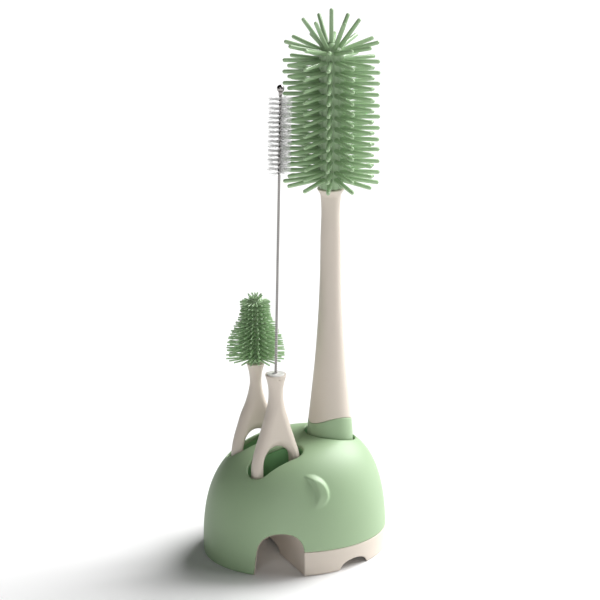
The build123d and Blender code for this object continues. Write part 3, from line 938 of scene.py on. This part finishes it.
def nylon(start, axes, heights, turns, low, high):
    """Fine nylon hairs that fan out from between the strands, in two helical sheets."""
    along, side, other = axes
    rng = np.random.default_rng(3)
    hairs = Builder()
    rows = np.arange(low, high, HAIR_STEP)
    steps = np.linspace(0.05, 1, len(HAIR_RADII))[:, None]
    for height, turn in zip(rows, np.interp(rows, heights, turns)):
        for way in (0, math.pi):
            for _ in range(HAIRS_PER_SIDE):
                spread = turn + way + rng.normal(0, 0.22)
                rise = rng.normal(0, 0.07)
                reach = HAIR_REACH * (1 + rng.normal(0, 0.02))
                heading = math.cos(spread) * side + math.sin(spread) * other + rise * along
                root = start + along * (height + rng.normal(0, 0.12))
                bend = rng.normal(0, 0.25, 3)
                path = root + steps * reach * heading + steps ** 2 * bend
                hairs.tube(path, HAIR_RADII, HAIR_SIDES)
    piece = hairs.piece("straw_nylon_bristles", "straw_brush", "clear_nylon", ["straw_bristles"])
    paint(piece, nylon_clear())


# ---------------------------------------------------------------- materials

TONE_SCALE = 28.0
TONE_LOW, TONE_HIGH = 0.3, 0.7
GLOSS_SPREAD = 0.05
LEAST_ROUGHNESS = 0.1
RELIEF_DEPTH = 0.0004


def new_material(name, color, roughness, spread=0.05, bump=0.05, bump_scale=900.0):
    """Plastic or silicone look: slow colour variation, uneven gloss and a fine surface texture.

    The ending of the name keeps it apart from the flat materials that come with the frame.
    """
    name += "_finish"
    material = bpy.data.materials.get(name)
    if material:
        return material
    material = bpy.data.materials.new(name)
    material.use_nodes = True
    nodes, links = material.node_tree.nodes, material.node_tree.links
    shader = nodes["Principled BSDF"]
    place = nodes.new("ShaderNodeTexCoord")
    tone = nodes.new("ShaderNodeTexNoise")
    tone.inputs["Scale"].default_value = TONE_SCALE
    tone.inputs["Detail"].default_value = 4
    ramp = nodes.new("ShaderNodeValToRGB")
    dark = [c * (1 - spread) for c in color]
    light = [min(1, c * (1 + spread)) for c in color]
    low, high = ramp.color_ramp.elements
    low.position, low.color = TONE_LOW, (*dark, 1)
    high.position, high.color = TONE_HIGH, (*light, 1)
    gloss = nodes.new("ShaderNodeMapRange")
    gloss.inputs["To Min"].default_value = max(roughness - GLOSS_SPREAD, LEAST_ROUGHNESS)
    gloss.inputs["To Max"].default_value = roughness + GLOSS_SPREAD
    grain = nodes.new("ShaderNodeTexNoise")
    grain.inputs["Scale"].default_value = bump_scale
    grain.inputs["Detail"].default_value = 3
    relief = nodes.new("ShaderNodeBump")
    relief.inputs["Strength"].default_value = bump
    relief.inputs["Distance"].default_value = RELIEF_DEPTH
    links.new(place.outputs["Object"], tone.inputs["Vector"])
    links.new(place.outputs["Object"], grain.inputs["Vector"])
    links.new(tone.outputs["Fac"], ramp.inputs["Fac"])
    links.new(ramp.outputs["Color"], shader.inputs["Base Color"])
    links.new(tone.outputs["Fac"], gloss.inputs["Value"])
    links.new(gloss.outputs["Result"], shader.inputs["Roughness"])
    links.new(grain.outputs["Fac"], relief.inputs["Height"])
    links.new(relief.outputs["Normal"], shader.inputs["Normal"])
    return material


def shader_of(material):
    return material.node_tree.nodes["Principled BSDF"]


def satin_green():
    return new_material("satin_green_plastic", (0.345, 0.482, 0.29), 0.5, spread=0.03)


# Painted shade and bounce light: the dome's green made darker and more saturated for the walls
# deep in the pockets.
def pocket_shade_green():
    return new_material("pocket_shade_green_plastic", (0.21, 0.45, 0.20), 0.5, spread=0.04)


def satin_cream():
    return new_material("satin_cream_plastic", (0.697, 0.622, 0.542), 0.5, spread=0.02)


def white_plastic():
    return new_material("white_plastic", (0.82, 0.81, 0.78), 0.35, spread=0.02)


def core_plastic():
    return new_material("core_plastic", (0.75, 0.73, 0.68), 0.5, spread=0.03)


def pad_rubber():
    return new_material("pad_rubber", (0.28, 0.28, 0.26), 0.8, spread=0.1, bump=0.3)


def painted_shade_by_reach(material, start, along, near, far):
    """Painted shade and light: scales the colour with the distance from an axis, darkening hollows
    near it; near and far are (distance, scale).
    """
    nodes, links = material.node_tree.nodes, material.node_tree.links
    place = nodes.new("ShaderNodeTexCoord")
    offset = nodes.new("ShaderNodeVectorMath")
    offset.operation = "SUBTRACT"
    offset.inputs[1].default_value = (np.asarray(start) * MM).tolist()
    cross = nodes.new("ShaderNodeVectorMath")
    cross.operation = "CROSS_PRODUCT"
    cross.inputs[1].default_value = np.asarray(along, float).tolist()
    reach = nodes.new("ShaderNodeVectorMath")
    reach.operation = "LENGTH"
    depth = nodes.new("ShaderNodeMapRange")
    depth.inputs["From Min"].default_value = near[0] * MM
    depth.inputs["From Max"].default_value = far[0] * MM
    depth.inputs["To Min"].default_value = near[1]
    depth.inputs["To Max"].default_value = far[1]
    shade = nodes.new("ShaderNodeVectorMath")
    shade.operation = "SCALE"
    ramp = next(node for node in nodes if node.type == "VALTORGB")
    links.new(place.outputs["Object"], offset.inputs[0])
    links.new(offset.outputs["Vector"], cross.inputs[0])
    links.new(cross.outputs["Vector"], reach.inputs[0])
    links.new(reach.outputs["Value"], depth.inputs["Value"])
    links.new(ramp.outputs["Color"], shade.inputs[0])
    links.new(depth.outputs["Result"], shade.inputs["Scale"])
    links.new(shade.outputs["Vector"], shader_of(material).inputs["Base Color"])


def silicone(name, axis, near, far):
    """Silicone of a brush head, with painted shade that makes it deeper green at the core and
    painted light that makes it paler towards the bristle tips.
    """
    color = (0.38, 0.545, 0.315)
    material = new_material(name, color, 0.17, spread=0.06, bump=0.08, bump_scale=700)
    shader = shader_of(material)
    shader.inputs["Subsurface Weight"].default_value = 0.08
    shader.inputs["Subsurface Radius"].default_value = (0.5, 1.0, 0.5)
    shader.inputs["Subsurface Scale"].default_value = 0.0012
    # Painted shade near the head's axis and painted light out at the bristle tips, by distance
    # from the axis.
    painted_shade_by_reach(material, (axis[0], axis[1], 0), (0, 0, 1), near, far)
    return material


def steel():
    """Dark polished steel of the tip ball."""
    color = (0.34, 0.32, 0.31)
    material = new_material("steel_wire", color, 0.18, spread=0.06, bump=0.04, bump_scale=2500)
    shader_of(material).inputs["Metallic"].default_value = 1.0
    return material


def twisted_steel(start, along):
    """Steel of the twisted wire, with painted shade that makes it dark in the groove between its
    two strands.
    """
    name, color = "twisted_steel_wire", (0.8, 0.76, 0.74)
    material = new_material(name, color, 0.3, spread=0.06, bump=0.04, bump_scale=2500)
    shader_of(material).inputs["Metallic"].default_value = 0.6
    # Painted shade: nearly black close to the wire's axis, where the strands meet, full colour on
    # their crests.
    painted_shade_by_reach(material, start, along, near=(1.45 * STRAND, 0.03), far=(1.95 * STRAND, 1.0))
    return material


def nylon_clear():
    """Clear nylon, thin enough for the background to show through."""
    material = new_material("clear_nylon", (0.95, 0.95, 0.94), 0.3, spread=0.02)
    shader_of(material).inputs["Alpha"].default_value = 0.3
    return material


def paint(piece, material):
    """The only material of a new piece."""
    piece.data.materials.clear()
    piece.data.materials.append(material)


def paint_node(node, material):
    """Better material on a CAD node that stays."""
    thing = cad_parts[node]
    if not thing.material_slots:
        thing.data.materials.append(material)
    for place in thing.material_slots:
        place.material = material


# ---------------------------------------------------------------- stage, camera and light

FLOOR_HALF = 6.0
SENSOR = 36.0
PICTURE = 600
FOCAL_PIXELS = 2518.44
CAMERA_PLACE = (-0.53533, -1.17919, 0.566008)
CAMERA_PITCH = 18.095
CAMERA_HEADING = -24.531
LIGHTS = [
    # name, azimuth, height above the floor, strength, angular size (angles in degrees)
    ("key", 18.0, 42.0, 4.36, 38.0),
    ("key_front", -18.0, 42.0, 0.97, 38.0),
    ("rim", 0.0, 14.0, 0.76, 38.0),
    ("fill", 246.0, 14.0, 0.58, 38.0),
    ("sparkle", 235.0, 46.0, 0.13, 4.5),
]
WORLD_STRENGTH = 0.02


def stage():
    """Plain pale floor."""
    half = FLOOR_HALF
    square = [(-half, -half, 0), (half, -half, 0), (half, half, 0), (-half, half, 0)]
    mesh = bpy.data.meshes.new("floor")
    mesh.from_pydata(square, [], [(0, 1, 2, 3)])
    floor = bpy.data.objects.new("floor", mesh)
    bpy.context.collection.objects.link(floor)
    material = bpy.data.materials.new("pale_floor")
    material.use_nodes = True
    shader_of(material).inputs["Base Color"].default_value = (0.93, 0.93, 0.93, 1)
    shader_of(material).inputs["Roughness"].default_value = 0.6
    paint(floor, material)


def camera():
    """Camera at the photograph's viewing angle."""
    data = bpy.data.cameras.new("camera")
    data.sensor_width = SENSOR
    data.lens = SENSOR * FOCAL_PIXELS / PICTURE
    data.clip_end = 20
    view = bpy.data.objects.new("camera", data)
    bpy.context.collection.objects.link(view)
    view.location = CAMERA_PLACE
    view.rotation_euler = (math.radians(90 - CAMERA_PITCH), 0, math.radians(CAMERA_HEADING))
    bpy.context.scene.camera = view


def lights():
    """Soft key from the right, a low rim light by it, a low fill and a small high front light."""
    for name, azimuth, height, strength, size in LIGHTS:
        data = bpy.data.lights.new(name, "SUN")
        data.energy = strength
        data.angle = math.radians(size)
        light = bpy.data.objects.new(name, data)
        bpy.context.collection.objects.link(light)
        heading = Vector(outward(azimuth, height))
        light.rotation_euler = heading.to_track_quat("Z", "Y").to_euler()
    world = bpy.data.worlds.new("studio")
    world.use_nodes = True
    world.node_tree.nodes["Background"].inputs["Color"].default_value = (1, 1, 1, 1)
    world.node_tree.nodes["Background"].inputs["Strength"].default_value = WORLD_STRENGTH
    bpy.context.scene.world = world
    bpy.context.scene.view_settings.view_transform = "Standard"


def main():
    holder()
    bottle_head()
    handle()
    wishbone("nipple_handle", "nipple_brush_handle", NIPPLE_NECK, "nipple_brush")
    nipple_head()
    straw_brush()
    # The pocket walls get painted shade and bounce light, not a different plastic.
    for node in ("brush_socket", "nipple_brush_pocket", "straw_brush_pocket"):
        paint_node(node, pocket_shade_green())
    for node in ("handle_spine", "bottle_head_core", "nipple_core"):
        paint_node(node, core_plastic())
    paint_node("grip_pads", pad_rubber())
    stage()
    camera()
    lights()


main()
